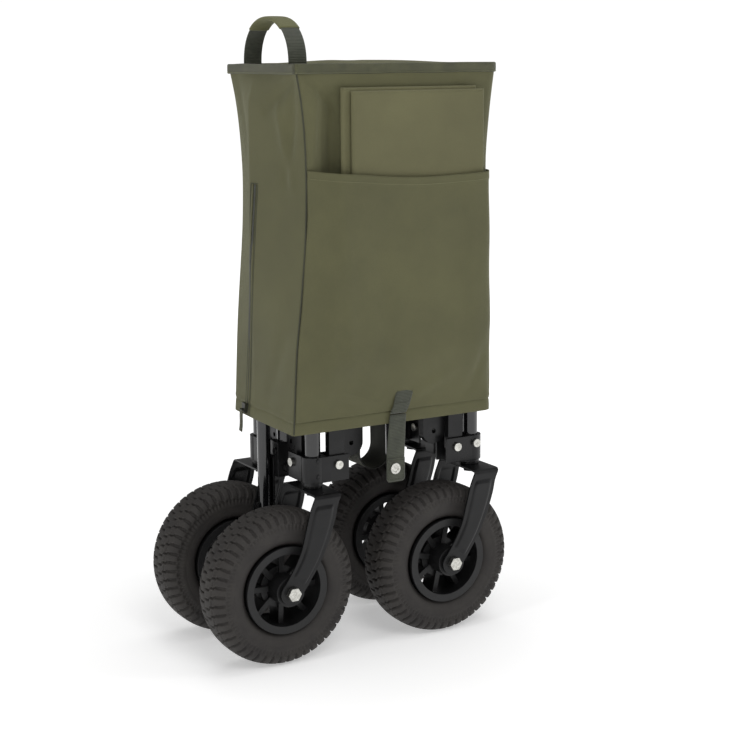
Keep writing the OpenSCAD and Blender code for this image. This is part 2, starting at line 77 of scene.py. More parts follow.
def through(knots, value):
    """A smooth curve through (place, height) knots."""
    xs, ys = np.array(knots, float).T
    slopes = np.gradient(ys, xs)
    value = np.clip(np.asarray(value, float), xs[0], xs[-1])
    i = np.clip(np.searchsorted(xs, value) - 1, 0, len(xs) - 2)
    h = xs[i + 1] - xs[i]
    t = (value - xs[i]) / h
    return ((1 + 2 * t) * (1 - t) ** 2 * ys[i] + t * (1 - t) ** 2 * h * slopes[i]
            + t * t * (3 - 2 * t) * ys[i + 1] + t * t * (t - 1) * h * slopes[i + 1])


def slow_waves(seed, size, *places):
    """Gentle cloth unevenness between -1 and 1, with bumps about size across."""
    rng = np.random.default_rng(seed)
    total = 0
    for _ in range(9):
        turn = rng.normal(size=len(places))
        turn *= 2 * math.pi / size / np.linalg.norm(turn) * rng.uniform(0.5, 1.1)
        total = total + np.sin(sum(t * p for t, p in zip(turn, places)) + rng.uniform(0, 6.28))
    return total / 5


def mesh_piece(name, points, faces, uvs=None, smooth=True):
    """A new mesh object from points in millimetres."""
    mesh = bpy.data.meshes.new(name)
    mesh.from_pydata([tuple(p) for p in np.asarray(points, float) * MM], [], faces)
    if uvs is not None:
        layer = mesh.uv_layers.new(name="run")
        loop_points = np.empty(len(mesh.loops), dtype=np.int32)
        mesh.loops.foreach_get("vertex_index", loop_points)
        layer.data.foreach_set("uv", (np.asarray(uvs, float)[loop_points] * MM).astype(np.float32).ravel())
    mesh.polygons.foreach_set("use_smooth", [smooth] * len(mesh.polygons))
    piece = bpy.data.objects.new(name, mesh)
    bpy.context.scene.collection.objects.link(piece)
    return piece


def skin(name, grid, around=False, along=False, smooth=True):
    """A skin over a grid of points: rows by columns by xyz. around closes the columns, along the rows."""
    grid = np.asarray(grid, float)
    rows, cols = grid.shape[:2]
    run_u = np.concatenate([[0], np.cumsum(np.linalg.norm(np.diff(grid[rows // 2], axis=0), axis=1))])
    run_v = np.concatenate([[0], np.cumsum(np.linalg.norm(np.diff(grid[:, cols // 2], axis=0), axis=1))])
    uvs = np.stack(np.meshgrid(run_u, run_v), -1).reshape(-1, 2)
    faces = []
    for r in range(rows if along else rows - 1):
        below, above = r * cols, (r + 1) % rows * cols
        for c in range(cols if around else cols - 1):
            d = (c + 1) % cols
            faces.append((below + c, below + d, above + d, above + c))
    return mesh_piece(name, grid.reshape(-1, 3), faces, uvs, smooth)


def swept(name, path, section, closed=False, up=(0, 0, 1), caps=True):
    """A strip of one section (across, out) carried along a path of points in millimetres."""
    path = np.asarray(path, float)
    section = np.asarray(section, float)
    if closed:
        ahead = np.roll(path, -1, 0) - np.roll(path, 1, 0)
    else:
        ahead = np.gradient(path, axis=0)
    ahead /= np.linalg.norm(ahead, axis=1)[:, None]
    ups = np.broadcast_to(np.asarray(up, float), path.shape)
    out = np.cross(ahead, ups)
    out /= np.linalg.norm(out, axis=1)[:, None]
    across = np.cross(out, ahead)
    grid = path[:, None] + across[:, None] * section[None, :, :1] + out[:, None] * section[None, :, 1:]
    rows, cols = grid.shape[:2]
    run = np.concatenate([[0], np.cumsum(np.linalg.norm(np.diff(path, axis=0), axis=1))])
    side = np.concatenate([[0], np.cumsum(np.linalg.norm(np.diff(section, axis=0), axis=1))])
    uvs = np.stack(np.broadcast_arrays(run[:, None], side[None]), -1).reshape(-1, 2)
    faces = []
    for r in range(rows if closed else rows - 1):
        a, b = r * cols, (r + 1) % rows * cols
        faces += [(a + c, a + (c + 1) % cols, b + (c + 1) % cols, b + c) for c in range(cols)]
    if caps and not closed:
        faces += [tuple(range(cols))[::-1], tuple((rows - 1) * cols + c for c in range(cols))]
    piece = mesh_piece(name, grid.reshape(-1, 3), faces, uvs)
    outward(piece)
    return piece


def outward(piece):
    """Turn every face of a closed piece to look outwards."""
    work = bmesh.new()
    work.from_mesh(piece.data)
    bmesh.ops.recalc_face_normals(work, faces=work.faces)
    work.to_mesh(piece.data)
    work.free()


def applied(piece):
    """The piece with its modifiers worked into the mesh."""
    depsgraph = bpy.context.evaluated_depsgraph_get()
    mesh = bpy.data.meshes.new_from_object(piece.evaluated_get(depsgraph))
    piece.modifiers.clear()
    piece.data = mesh
    return piece


def thicken(piece, thickness, offset=0.0):
    """Give a sheet its thickness in millimetres; -1 grows it inwards, 1 outwards."""
    solid = piece.modifiers.new("thickness", "SOLIDIFY")
    solid.thickness = thickness * MM
    solid.offset = offset
    return piece


def soften_edges(piece, width, segments=2, angle=35):
    edge = piece.modifiers.new("edges", "BEVEL")
    edge.width = width * MM
    edge.segments = segments
    edge.limit_method = "ANGLE"
    edge.angle_limit = math.radians(angle)
    edge.harden_normals = True
    return piece


def fit(piece, material, body, slot, *nodes):
    """Dress a piece, hang it on its body and let it stand for CAD nodes."""
    piece.data.materials.clear()
    piece.data.materials.append(material)
    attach(piece, body)
    if nodes:
        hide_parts(*nodes)
    return piece


def pebble(long, wide, tall, segments=8):
    """Section points of a flat rounded bar, for stitches, tapes and webbing."""
    angles = np.linspace(0, 2 * math.pi, segments, endpoint=False) + math.pi / segments
    shape = np.stack([np.cos(angles), np.sin(angles)], 1)
    shape = np.sign(shape) * np.abs(shape) ** 0.55
    return shape * [wide / 2, tall / 2]


def stitches(name, path, outs, pitch=3.4, thread=0.45):
    """A row of thread stitches lying on a path; outs is the outward direction along it."""
    path = np.asarray(path, float)
    outs = np.broadcast_to(np.asarray(outs, float), path.shape)
    run = np.concatenate([[0], np.cumsum(np.linalg.norm(np.diff(path, axis=0), axis=1))])
    count = max(1, int(run[-1] / pitch))
    points, faces = [], []
    for k in range(count):
        ends = (k + np.array([0.12, 0.32, 0.5, 0.68, 0.88])) * pitch
        rise = np.array([-0.1, 0.55, 0.75, 0.55, -0.1]) * thread
        size = np.array([0.4, 0.95, 1.0, 0.95, 0.4]) * thread / 2
        centre = np.stack([np.interp(ends, run, path[:, i]) for i in range(3)], 1)
        out = np.stack([np.interp(ends, run, outs[:, i]) for i in range(3)], 1)
        ahead = centre[-1] - centre[0]
        ahead = ahead / max(np.linalg.norm(ahead), 1e-9)
        side = np.cross(ahead, out)
        first = len(points)
        for j in range(5):
            for a in np.linspace(0, 2 * math.pi, 6, endpoint=False):
                points.append(centre[j] + out[j] * (rise[j] + size[j] * math.cos(a)) + side[j] * size[j] * math.sin(a))
        for j in range(4):
            for a in range(6):
                b = (a + 1) % 6
                faces.append((first + j * 6 + a, first + j * 6 + b, first + j * 6 + 6 + b, first + j * 6 + 6 + a))
    return mesh_piece(name, points, faces)


# ---- Finishes ----

def surface(name, colour, roughness, **settings):
    """A new material: its nodes, its shader and its output."""
    material = bpy.data.materials.new(name)
    material.use_nodes = True
    nodes = material.node_tree.nodes
    shader = next(n for n in nodes if n.type == "BSDF_PRINCIPLED")
    shader.inputs["Base Color"].default_value = linear(colour)
    shader.inputs["Roughness"].default_value = roughness
    for socket, value in settings.items():
        shader.inputs[socket.replace("_", " ")].default_value = value
    material.diffuse_color = linear(colour)
    return material, shader


def add(material, kind, links=(), **settings):
    """Add a node, set its properties and default inputs, and link sockets into it."""
    node = material.node_tree.nodes.new(kind)
    for key, value in settings.items():
        if hasattr(node, key):
            setattr(node, key, value)
        else:
            node.inputs[key.replace("_", " ")].default_value = value
    for socket, source in links:
        material.node_tree.links.new(source, node.inputs[socket])
    return node


def join(material, source, shader, socket):
    material.node_tree.links.new(source, shader.inputs[socket])


def mottled(material, shader, place, dark, light, scale, detail=4):
    """Colour that drifts between two shades, as dye and light wear leave it."""
    cloud = add(material, "ShaderNodeTexNoise", [("Vector", place)], Scale=scale, Detail=detail, Roughness=0.62)
    spread = add(material, "ShaderNodeMapRange", [("Value", cloud.outputs["Fac"])], From_Min=0.32, From_Max=0.68)
    mix = add(material, "ShaderNodeMix", [("Factor", spread.outputs["Result"])], data_type="RGBA")
    mix.inputs["A"].default_value = linear(dark)
    mix.inputs["B"].default_value = linear(light)
    colour = next(o for o in mix.outputs if o.type == "RGBA")
    mix.inputs[6].default_value = linear(dark)
    mix.inputs[7].default_value = linear(light)
    join(material, colour, shader, "Base Color")
    return colour


def object_place(material):
    return add(material, "ShaderNodeTexCoord").outputs["Object"]


def oxford_cloth(name, dark, light, sheen=0.25, thread=1.1, depth=0.35):
    """Oxford polyester, plain woven from 600-denier yarn and coated on its back: a dull, slightly dry surface
    with a fine square grain. Real yarns lie 0.45 mm apart; the grain is drawn at 1.1 mm so that it shows."""
    material, shader = surface(name, light, 0.78, Sheen_Weight=sheen, Sheen_Roughness=0.45, Specular_IOR_Level=0.32)
    shader.inputs["Sheen Tint"].default_value = linear("#c9cbb0")
    place = object_place(material)
    axes = add(material, "ShaderNodeSeparateXYZ", [("Vector", place)])
    flat = add(material, "ShaderNodeMath", [(0, axes.outputs["X"]), (1, axes.outputs["Y"])], operation="ADD")
    turns = 2 * math.pi / (thread * MM)
    warp = add(material, "ShaderNodeMath", [(0, flat.outputs[0])], operation="MULTIPLY")
    warp.inputs[1].default_value = turns
    weft = add(material, "ShaderNodeMath", [(0, axes.outputs["Z"])], operation="MULTIPLY")
    weft.inputs[1].default_value = turns
    warp_wave = add(material, "ShaderNodeMath", [(0, warp.outputs[0])], operation="SINE")
    weft_wave = add(material, "ShaderNodeMath", [(0, weft.outputs[0])], operation="SINE")
    weave = add(material, "ShaderNodeMath", [(0, warp_wave.outputs[0]), (1, weft_wave.outputs[0])], operation="MULTIPLY")
    slub = add(material, "ShaderNodeTexNoise", [("Vector", place)], Scale=420.0, Detail=2.0)
    grain = add(material, "ShaderNodeMath", [(0, weave.outputs[0]), (1, slub.outputs["Fac"])], operation="ADD")
    colour = mottled(material, shader, place, dark, light, 7.0, 6)
    shade = add(material, "ShaderNodeMapRange", [("Value", grain.outputs[0])], From_Min=-0.7, From_Max=1.7,
                To_Min=0.86, To_Max=1.12)
    tint = add(material, "ShaderNodeVectorMath", [(0, colour), ("Scale", shade.outputs["Result"])], operation="SCALE")
    join(material, tint.outputs["Vector"], shader, "Base Color")
    crinkle = add(material, "ShaderNodeTexNoise", [("Vector", place)], Scale=34.0, Detail=5.0, Roughness=0.55)
    big = add(material, "ShaderNodeBump", [("Height", crinkle.outputs["Fac"])], Strength=0.35, Distance=1.6 * MM)
    fine = add(material, "ShaderNodeBump", [("Height", grain.outputs[0]), ("Normal", big.outputs["Normal"])],
               Strength=depth, Distance=0.25 * MM)
    join(material, fine.outputs["Normal"], shader, "Normal")
    return material


def ribbed_tape(name, dark, light, rib, across=False, sheen=0.2, depth=0.8):
    """Woven nylon tape: thick picks beaten close together over fine warp, so it shows even ribs from edge to edge
    and a faint shine along them. rib is the distance between ribs in millimetres."""
    material, shader = surface(name, light, 0.66, Sheen_Weight=sheen, Sheen_Roughness=0.4, Specular_IOR_Level=0.4)
    run = add(material, "ShaderNodeUVMap", uv_map="run").outputs["UV"]
    axes = add(material, "ShaderNodeSeparateXYZ", [("Vector", run)])
    along = add(material, "ShaderNodeMath", [(0, axes.outputs["Y" if across else "X"])], operation="MULTIPLY")
    along.inputs[1].default_value = 2 * math.pi / (rib * MM)
    ribs = add(material, "ShaderNodeMath", [(0, along.outputs[0])], operation="SINE")
    beside = add(material, "ShaderNodeMath", [(0, axes.outputs["X" if across else "Y"])], operation="MULTIPLY")
    beside.inputs[1].default_value = 2 * math.pi / (1.0 * MM)
    warps = add(material, "ShaderNodeMath", [(0, beside.outputs[0])], operation="SINE")
    soft = add(material, "ShaderNodeMath", [(0, warps.outputs[0])], operation="MULTIPLY")
    soft.inputs[1].default_value = 0.3
    weave = add(material, "ShaderNodeMath", [(0, ribs.outputs[0]), (1, soft.outputs[0])], operation="ADD")
    place = object_place(material)
    colour = mottled(material, shader, place, dark, light, 60.0)
    shade = add(material, "ShaderNodeMapRange", [("Value", weave.outputs[0])], From_Min=-1.3, From_Max=1.3,
                To_Min=0.72, To_Max=1.15)
    tint = add(material, "ShaderNodeVectorMath", [(0, colour), ("Scale", shade.outputs["Result"])], operation="SCALE")
    join(material, tint.outputs["Vector"], shader, "Base Color")
    relief = add(material, "ShaderNodeBump", [("Height", weave.outputs[0])], Strength=depth, Distance=0.3 * MM)
    join(material, relief.outputs["Normal"], shader, "Normal")
    return material


def moulded_rubber(name, dark, light, roughness=0.72):
    """Styrene-butadiene rubber, moulded with carbon black: nearly black with a brown-grey bloom of release wax
    and dust that lifts the raised edges, and a fine matt mould grain about 0.4 mm across."""
    material, shader = surface(name, dark, roughness, Specular_IOR_Level=0.42)
    place = object_place(material)
    colour = mottled(material, shader, place, dark, light, 26.0, 6)
    worn = add(material, "ShaderNodeNewGeometry")
    edge = add(material, "ShaderNodeMapRange", [("Value", worn.outputs["Pointiness"])], From_Min=0.52, From_Max=0.66)
    mix = add(material, "ShaderNodeMix", [("Factor", edge.outputs["Result"]), (6, colour)], data_type="RGBA")
    mix.inputs[7].default_value = linear("#3d3936")
    join(material, mix.outputs[2], shader, "Base Color")
    grit = add(material, "ShaderNodeTexNoise", [("Vector", place)], Scale=900.0, Detail=3.0)
    relief = add(material, "ShaderNodeBump", [("Height", grit.outputs["Fac"])], Strength=0.35, Distance=0.2 * MM)
    join(material, relief.outputs["Normal"], shader, "Normal")
    return material


def coated_steel(name, colour, edge_colour, roughness, peel=220.0, coat=0.0, corner=1.0):
    """Pressed steel under baked powder coat: deep black, half glossy, with a shallow orange peel about 4 mm across.
    The coat thins on pressed corners, which catch a soft line of light."""
    material, shader = surface(name, colour, roughness, Coat_Weight=coat, Coat_Roughness=0.08, Specular_IOR_Level=0.3)
    place = object_place(material)
    rounded = add(material, "ShaderNodeBevel", samples=6, Radius=corner * MM)
    skin_noise = add(material, "ShaderNodeTexNoise", [("Vector", place)], Scale=peel, Detail=2.0)
    relief = add(material, "ShaderNodeBump", [("Height", skin_noise.outputs["Fac"]), ("Normal", rounded.outputs["Normal"])],
                 Strength=0.16, Distance=0.3 * MM)
    join(material, relief.outputs["Normal"], shader, "Normal")
    dust = mottled(material, shader, place, colour, edge_colour, 45.0, 5)
    smear = add(material, "ShaderNodeTexNoise", [("Vector", place)], Scale=30.0, Detail=4.0)
    gloss = add(material, "ShaderNodeMapRange", [("Value", smear.outputs["Fac"])], From_Min=0.3, From_Max=0.7,
                To_Min=max(roughness - 0.07, 0.05), To_Max=roughness + 0.1)
    join(material, gloss.outputs["Result"], shader, "Roughness")
    return material


def zinc_plate(name):
    """Mild steel, barrel-plated with bright zinc: a pale blue-white metal with a faint satin haze and small
    darker spots where the plating pooled."""
    material, shader = surface(name, "#c9c8c2", 0.26, Metallic=1.0)
    place = object_place(material)
    rounded = add(material, "ShaderNodeBevel", samples=6, Radius=0.6 * MM)
    mottled(material, shader, place, "#a5a49e", "#d8d7d1", 320.0, 4)
    haze = add(material, "ShaderNodeTexNoise", [("Vector", place)], Scale=700.0, Detail=3.0)
    gloss = add(material, "ShaderNodeMapRange", [("Value", haze.outputs["Fac"])], From_Min=0.3, From_Max=0.7,
                To_Min=0.2, To_Max=0.42)
    join(material, gloss.outputs["Result"], shader, "Roughness")
    relief = add(material, "ShaderNodeBump", [("Height", haze.outputs["Fac"]), ("Normal", rounded.outputs["Normal"])],
                 Strength=0.2, Distance=0.12 * MM)
    join(material, relief.outputs["Normal"], shader, "Normal")
    return material


def moulded_nylon(name, dark, light, roughness=0.5, corner=0.8):
    """Glass-filled nylon, injection moulded against a spark-eroded steel face: charcoal black, evenly matt,
    with a grain about 0.5 mm across that breaks up its highlights."""
    material, shader = surface(name, dark, roughness, Specular_IOR_Level=0.45)
    place = object_place(material)
    rounded = add(material, "ShaderNodeBevel", samples=6, Radius=corner * MM)
    mottled(material, shader, place, dark, light, 50.0, 5)
    grain = add(material, "ShaderNodeTexNoise", [("Vector", place)], Scale=1100.0, Detail=2.0)
    relief = add(material, "ShaderNodeBump", [("Height", grain.outputs["Fac"]), ("Normal", rounded.outputs["Normal"])],
                 Strength=0.22, Distance=0.15 * MM)
    join(material, relief.outputs["Normal"], shader, "Normal")
    return material


cover_cloth = oxford_cloth("olive_oxford_cloth", "#504f37", "#5b5a3e")
board_cloth = oxford_cloth("olive_board_cloth", "#5b593f", "#656346")
# A lighter copy of the cover cloth for the loop sleeve: painted light on the crown, which faces the top lamp.
sleeve_cloth = oxford_cloth("olive_cloth_sleeve_painted_light", "#5a5a3c", "#666645")
wagon_cloth = oxford_cloth("folded_wagon_cloth", "#4a4a35", "#57573e")
liner_cloth = oxford_cloth("black_liner_cloth", "#1e1e1c", "#282826")
# A darker copy of the cover cloth: painted shade along the corner seam and in the grooves beside the zip.
seam_shade = oxford_cloth("seam_piping_painted_shade", "#34352a", "#3d3e30")
binding_tape = ribbed_tape("grosgrain_binding", "#434430", "#515238", 1.5)
webbing = ribbed_tape("ribbed_webbing", "#3a3d33", "#494c3f", 1.9)
zip_tape = ribbed_tape("zip_tape", "#2c2e23", "#383a2c", 1.4)
thread_olive = oxford_cloth("olive_thread", "#77775a", "#8a8a69", sheen=0.5)
thread_dark = oxford_cloth("dark_thread", "#2c2d24", "#383a2d", sheen=0.4)
tyre_rubber = moulded_rubber("tyre_rubber", "#262322", "#34312e")
tube_rubber = moulded_rubber("inner_tube_rubber", "#1c1c1c", "#242424")
grip_rubber = moulded_rubber("grip_rubber", "#1b1b1b", "#262625")
fork_steel = coated_steel("powder_coated_steel", "#0c0c0d", "#131314", 0.33)
post_steel = coated_steel("gloss_black_tube", "#09090a", "#0e0e10", 0.18, coat=0.7, corner=0.5)
bright_zinc = zinc_plate("bright_zinc")
rim_nylon = moulded_nylon("rim_nylon", "#0a0a0b", "#111112")
black_nylon = moulded_nylon("bush_nylon", "#0e0e0f", "#161617", 0.42)
slider_metal = coated_steel("painted_zip_slider", "#26271f", "#33342a", 0.4, corner=0.4)

DRESS = {
    "tube_": tube_rubber, "rim_front": rim_nylon, "rim_rear": rim_nylon, "bearings_": bright_zinc, "fork_": fork_steel,
    "axle_": bright_zinc, "rear_axles": bright_zinc, "stem_front": fork_steel, "rear_stems": fork_steel,
    "stem_bushes": black_nylon, "corner_posts": post_steel, "bracket_": fork_steel, "corner_caps": black_nylon,
    "side_bars": fork_steel, "end_bars": fork_steel, "pivot_bolts": bright_zinc, "centre_posts": post_steel,
    "centre_brackets": fork_steel, "floor_hub": black_nylon, "floor_links": fork_steel, "pull_yoke": fork_steel,
    "pull_tube": post_steel, "pull_grip": grip_rubber, "zip_slider": slider_metal, "strap_snap": bright_zinc,
}
for node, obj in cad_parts.items():
    for start, material in DRESS.items():
        if node.startswith(start):
            for i in range(len(obj.material_slots)):
                obj.material_slots[i].material = material
            if not obj.material_slots:
                obj.data.materials.append(material)


# ---- Camera ----

def aim_camera():
    yaw, pitch, roll = math.radians(30.43), math.radians(10.76), math.radians(-0.43)
    ahead = Vector((math.sin(yaw) * math.cos(pitch), math.cos(yaw) * math.cos(pitch), -math.sin(pitch)))
    lens = bpy.data.cameras.new("camera")
    lens.sensor_width = 36
    lens.lens = 1641.8 / 735 * 36
    lens.clip_end = 30
    eye = bpy.data.objects.new("camera", lens)
    bpy.context.scene.collection.objects.link(eye)
    eye.matrix_world = (Matrix.Translation(Vector((-1.0218, -1.8390, 0.7534)))
                        @ ahead.to_track_quat("-Z", "Y").to_matrix().to_4x4() @ Matrix.Rotation(roll, 4, "Z"))
    bpy.context.scene.camera = eye


aim_camera()


# ---- Tyres ----

LUGS = 50


def tyre_mesh():
    """A balloon tyre with two staggered rows of stepped lugs, ribbed shoulders and ringed side walls."""
    around = LUGS * 14
    turn = np.linspace(0, 2 * math.pi, around, endpoint=False)
    tread = np.linspace(-72, 72, 81)
    wall = np.linspace(72, 162, 34)[1:]
    slant = np.radians(np.concatenate([-wall[::-1], tread, wall]))
    mid, half_h, half_w = 76.5, 23.5, 31.0
    radial = np.sign(np.cos(slant)) * np.abs(np.cos(slant)) ** 0.72
    beside = np.sign(np.sin(slant)) * np.abs(np.sin(slant)) ** 0.72
    radius, width = mid + half_h * radial, half_w * beside
    across = np.cumsum(np.hypot(np.gradient(radius), np.gradient(width)))
    across -= across[len(across) // 2]
    reach = np.abs(across)[:, None]
    side = np.sign(across)[:, None]
    pitch = 2 * math.pi / LUGS
    step = 0.34 * ease(11, 14, reach) + 0.16 * ease(20, 22, reach)
    phase = turn[None] / pitch + 0.5 * (side > 0) + step
    away = np.abs((phase % 1) - 0.5)
    slot_half = 0.10 + 0.09 * ease(14, 34, reach)
    groove = 1 - ease(slot_half * 0.55, slot_half * 1.25, away)
    on_tread = 1 - ease(35.5, 38.5, reach)
    depth = 3.0 * groove * on_tread * ease(1.4, 3.0, reach)
    parting = 1.1 * bump(0, 1.1, across[:, None]) - 0.5 * bump(0, 0.45, across[:, None])
    sipe = 1.0 * bump(17, 0.8, reach) * ease(0.2, 0.32, away) * on_tread
    rib_away = np.abs((turn[None] / pitch * 2 % 1) - 0.5)
    ribs = 1.0 * ease(0.16, 0.30, rib_away) * ease(38.5, 39.5, reach) * (1 - ease(42, 44.5, reach))
    step_down = 1.6 * ease(36, 38.5, reach) * (1 - ease(48, 70, reach))
    rings = -0.8 * bump(46.2, 0.7, reach) + 0.7 * bump(74, 1.0, reach) - 0.7 * bump(77.5, 1.5, reach)
    sink = depth + parting + sipe + ribs + step_down + rings
    tangent_r, tangent_w = np.gradient(radius), np.gradient(width)
    size = np.hypot(tangent_r, tangent_w)
    out_r, out_w = (tangent_w / size)[:, None], (-tangent_r / size)[:, None]
    r = radius[:, None] - out_r * sink
    w = width[:, None] - out_w * sink
    grid = np.stack([r * np.cos(turn), w + 0 * turn, r * np.sin(turn)], -1)
    return skin("tyre", grid, around=True)


first_tyre = tyre_mesh()
outward(first_tyre)
plain_tyre = first_tyre.data
for corner in CORNERS:
    tyre = first_tyre if corner == "front_left" else first_tyre.copy()
    if corner != "front_left":
        bpy.context.scene.collection.objects.link(tyre)
    tyre.name = "tread_tyre_" + corner
    x, y = WHEEL_AT[corner]
    tyre.data = plain_tyre.copy()
    tyre.data.transform(Matrix.Rotation(math.radians(-WHEEL_TURN[corner] * 1.7), 4, "Y"))
    tyre.location = (x * MM, y * MM, 100 * MM)
    fit(tyre, tyre_rubber, "wheel_" + corner, "tyre_rubber", "tyre_" + corner)


# ---- Forks ----

FORK_LEFT = [(100, -70), (104, -69.3), (116, -61), (128, -53), (148.5, -42), (175, -34), (200, -27), (219, -19)]
FORK_RIGHT = [(100, -38), (106, -33), (112, -29), (132, -15.5), (160, -2), (189, 8), (206, 12), (219, 18)]


def fork_piece(corner):
    """A fork pressed from one strip: two cheeks leaning to the axle, bent over a flat crown, with a raised panel."""
    turn = np.linspace(-math.pi / 2, 0, 26)
    bend_r, crown_z, cheek_y = 3.6, 217.5, 42.5
    heights = np.concatenate([100 + 16 * np.sin(turn[:-1]), np.linspace(100, crown_z - bend_r - 1, 62)])
    bend = np.linspace(0, math.pi / 2, 9)[1:]
    half_path = [(-cheek_y, z, z) for z in heights]
    half_path += [(bend_r * (1 - math.cos(a)) - cheek_y, crown_z - bend_r * (1 - math.sin(a)),
                   crown_z - bend_r * (1 - math.sin(a))) for a in bend]
    half_path += [(y, crown_z, 219) for y in np.linspace(bend_r - cheek_y, 0, 12)[1:]]
    path = half_path + [(-y, z, s) for y, z, s in half_path[-2::-1]]
    t = np.linspace(0, 1, 34)
    grid = []
    for y, z, level in path:
        if level < 100:
            half = math.sqrt(max(256 - (level - 100) ** 2, 0.2))
            left, right = -54 - half, -54 + half
        else:
            left, right = float(through(FORK_LEFT, level)), float(through(FORK_RIGHT, level))
        x = left + (right - left) * t
        edge = np.minimum(x - left, right - x) * 0.86
        to_axle = np.hypot(x + 54, level - 100)
        raised = 1.6 * ease(4.5, 7.5, edge) * ease(18.5, 21.5, to_axle) * (1 - ease(201, 206, z))
        grid.append(np.stack([x, y + raised * np.sign(y), np.full_like(x, z)], 1))
    px, py = POST_AT[corner]
    piece = skin("pressed_fork_" + corner, np.array(grid) + [px, py, 0])
    thicken(piece, 2.6, 0.0)
    return soften_edges(applied(piece), 0.9, 3, 50)


for corner in CORNERS:
    body = "caster_" + corner if corner.startswith("front") else "frame"
    fit(fork_piece(corner), fork_steel, body, "painted_steel", "fork_" + corner)


# ---- Cover ----

LEVELS = {
    "left": [(296, -108), (313, -107), (360, -104.5), (399, -102), (460, -95), (555, -87), (620, -86), (660, -87.5), (697, -91), (743, -99)],
    "right": [(296, 187.5), (400, 187.6), (540, 187.2), (600, 187), (640, 187.2), (700, 188.6), (743, 191)],
    "near_r": [(296, 15), (400, 16), (560, 26), (625, 28), (680, 20), (743, 9)],
    "far_left": [(296, -100), (400, -95), (555, -83), (625, -82), (700, -88), (743, -97)],
    "far_r": [(296, 20), (560, 16), (743, 12)],
}
BULGE = (-93, 8, 11.1)


def outline(z, grow=0.0, counts=(150, 70, 96, 114)):
    """Level line of the cover at one height: from the near left seam round the near face and back to the seam."""
    left, right, near_r, far_left, far_r = (float(through(LEVELS[k], z)) for k in
                                            ("left", "right", "near_r", "far_left", "far_r"))
    bulge_r = BULGE[2] * (1 - 0.8 * float(ease(688, 740, z)))
    circles = [(left + 3, FACE_Y + 3, 3), (right - near_r, FACE_Y + near_r, near_r), (right - 16, BACK_Y - 16, 16),
               (far_left + far_r, BACK_Y - far_r, far_r), (BULGE[0], BULGE[1], bulge_r)]
    angle = np.radians(np.arange(0, 360, 1.5))
    ring = np.stack([np.cos(angle), np.sin(angle)], 1)
    reach = np.array([np.array([cx, cy]) @ ring.T + r for cx, cy, r in circles])
    lead = reach.argmax(0)
    hull = np.array([np.array(circles[k][:2]) + circles[k][2] * ring[i] for i, k in enumerate(lead)])
    stops = [int(round(mark / 1.5)) for mark in (225, 315, 45, 135, 225)]
    points = []
    for a, b, count in zip(stops[:-1], stops[1:], counts):
        if b <= a:
            b += len(angle)
        part = hull[np.arange(a, b + 1) % len(angle)]
        run = np.concatenate([[0], np.cumsum(np.linalg.norm(np.diff(part, axis=0), axis=1))])
        even = np.linspace(0, run[-1], count, endpoint=False)
        points.append(np.stack([np.interp(even, run, part[:, 0]), np.interp(even, run, part[:, 1])], 1))
    points = np.concatenate(points)
    if grow:
        ahead = np.roll(points, -1, 0) - np.roll(points, 1, 0)
        ahead /= np.maximum(np.linalg.norm(ahead, axis=1), 1e-9)[:, None]
        points = points + grow * np.stack([ahead[:, 1], -ahead[:, 0]], 1)
    return points


def stroke(a, z, start, end, width, depth):
    """A crease from start to end in (run, height) space, negative depth going inwards."""
    s, e = np.array(start, float), np.array(end, float)
    d = e - s
    t = np.clip(((a - s[0]) * d[0] + (z - s[1]) * d[1]) / (d @ d), 0, 1)
    off = np.hypot(a - s[0] - t * d[0], z - s[1] - t * d[1])
    return depth * np.exp(-(off / width) ** 2) * (0.35 + 0.65 * np.sin(math.pi * np.clip(t * 0.9 + 0.05, 0, 1)))


def cover_push(x, y, z, nx, ny):
    """How far the cloth stands out from its level line, in millimetres."""
    near = ease(0.6, 0.95, -ny)
    end = ease(0.6, 0.95, -nx)
    push = 0.9 * slow_waves(3, 90, x, y, z) * ease(296, 330, z)
    push = push + near * stroke(x, z, (-52, 704), (-48, 566), 19, -10.5) * (1 - ease(-10, 16, x))
    push = push + near * stroke(x, z, (-44, 702), (-42, 590), 9, -6.0)
    push = push + near * stroke(x, z, (-88, 735), (-34, 682), 8, -3.8)
    push = push + near * stroke(x, z, (-72, 712), (-76, 630), 6, 3.0)
    push = push + near * stroke(x, z, (120, 722), (176, 668), 9, -2.0)
    push = push + end * stroke(y, z, (-98, 731), (-30, 690), 9, -4.0)
    push = push + end * stroke(y, z, (-90, 718), (-64, 606), 9, -4.2)
    push = push + end * stroke(y, z, (-52, 696), (-76, 596), 8, 2.6)
    push = push + end * stroke(y, z, (60, 725), (30, 640), 12, -2.5)
    push = push + end * stroke(y, z, (-80, 420), (-30, 330), 14, -1.8)
    crease = 311 + 1.3 * slow_waves(14, 70, x, y)
    hem_fold = -0.7 * bump(0, 1.5, z - crease) + 0.5 * bump(5, 2.4, z - crease) + 0.5 * (1 - ease(300, 311, z))
    return push + hem_fold


def cover_piece():
    heights = np.concatenate([np.linspace(HEM_Z, 322, 22), np.linspace(322, RIM_Z - 2, 130)[1:]])
    grid = []
    for z in heights:
        line = outline(z)
        ahead = np.roll(line, -1, 0) - np.roll(line, 1, 0)
        ahead /= np.linalg.norm(ahead, axis=1)[:, None]
        nx, ny = ahead[:, 1], -ahead[:, 0]
        push = cover_push(line[:, 0], line[:, 1], z, nx, ny)
        grid.append(np.stack([line[:, 0] + nx * push, line[:, 1] + ny * push, np.full(len(line), z)], 1))
    piece = skin("cover_shell", np.array(grid), around=True)
    return thicken(piece, 1.1, 0.0)


